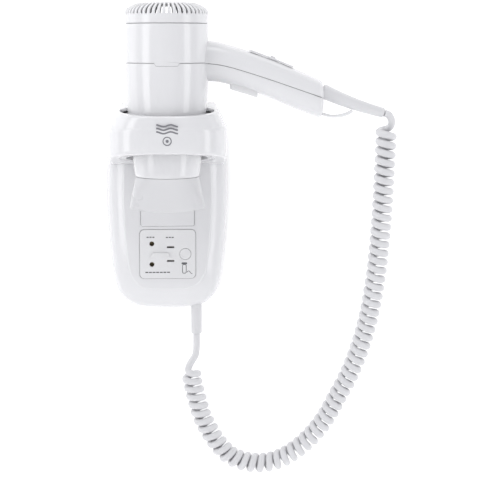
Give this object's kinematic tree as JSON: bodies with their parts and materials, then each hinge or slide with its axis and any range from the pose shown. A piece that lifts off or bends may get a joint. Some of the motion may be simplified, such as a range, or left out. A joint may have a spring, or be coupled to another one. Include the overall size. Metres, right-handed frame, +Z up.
{
  "type": "wall-mounted hair dryer",
  "caption": "White pistol hair dryer standing nose-down in the collar of a wall holder with a shaver socket, joined to it by a coiled cord.",
  "frame": {"origin": "centre of the wall plate's back face", "axes": "+Y into the wall, +Z up, +X towards the dryer's handle; the front faces -Y"},
  "size_m": [0.2561, 0.1168, 0.4364],
  "materials": {
    "gloss_white": "gloss white moulded",
    "satin_white": "satin white moulded",
    "cord_white": "satin flexible white",
    "grey_plastic": "moulded grey",
    "dark_plastic": "dark moulded",
    "steel": "bright",
    "brass": "bright",
    "copper": "enamelled winding, taped",
    "mica": "mica sheet"
  },
  "bodies": {
    "holder": {"wall_plate": "grey_plastic", "holder_cover": "gloss_white", "holder_collar": "gloss_white", "collar_liner": "satin_white", "socket_face": "satin_white", "screw_plug": "satin_white", "screw_cover": "gloss_white", "cover_screw_upper": "steel", "cover_screw_lower": "steel", "round_contact_upper": "brass", "round_contact_lower": "brass", "flat_contact_upper": "brass", "flat_contact_lower": "brass", "transformer_core": "steel", "transformer_winding": "copper", "terminal_block": "grey_plastic", "cord_sleeve": "gloss_white", "cord_clamp_holder": "grey_plastic", "reed_switch": "dark_plastic", "cord_lower": "cord_white", "cord_coil": "cord_white"},
    "dryer": {"cord_upper": "cord_white", "rear_shell": "gloss_white", "front_shell": "gloss_white", "cord_guard": "cord_white", "hanging_loop": "cord_white", "motor": "steel", "motor_carrier": "grey_plastic", "mica_board_wide": "mica", "mica_board_cross": "mica", "heater_coil": "steel", "mica_tube": "mica", "thermostat": "dark_plastic", "outlet_grille": "grey_plastic", "switch_bezel": "satin_white", "slide_switch_body": "dark_plastic", "button_switch": "dark_plastic", "button_spring": "steel", "inner_lead": "grey_plastic", "cord_grip": "grey_plastic", "lift_magnet": "steel"},
    "rear_cap": {"rear_cap": "gloss_white", "inlet_filter": "dark_plastic"},
    "fan": {"fan": "grey_plastic", "motor_shaft": "steel"},
    "nozzle": {"nozzle": "gloss_white"},
    "slider": {"switch_slider": "satin_white"},
    "button": {"finger_button": "satin_white"}
  },
  "joints": [
    {"name": "dryer_lift", "type": "slide", "parent": "holder", "child": "dryer", "axis": [0, 0, 1], "range_m": [0, 0.115]},
    {"name": "cap_twist", "type": "hinge", "parent": "dryer", "child": "rear_cap", "pos_m": [0, -0.072, 0.1657], "axis": [0, 0, 1], "range_deg": [0, 25]},
    {"name": "fan_spin", "type": "hinge", "parent": "dryer", "child": "fan", "pos_m": [0, -0.072, 0.15], "axis": [0, 0, 1], "continuous": true},
    {"name": "nozzle_turn", "type": "hinge", "parent": "dryer", "child": "nozzle", "pos_m": [0, -0.072, 0.0353], "axis": [0, 0, 1], "continuous": true},
    {"name": "switch_slide", "type": "slide", "parent": "dryer", "child": "slider", "axis": [-0.9299, 0, 0.3678], "range_m": [0, 0.007]},
    {"name": "button_press", "type": "slide", "parent": "dryer", "child": "button", "axis": [0, 0, 1], "range_m": [0, 0.0025], "stiffness_N_per_m": 400, "springref_m": -0.001, "deforming": ["button_spring"]}
  ]
}
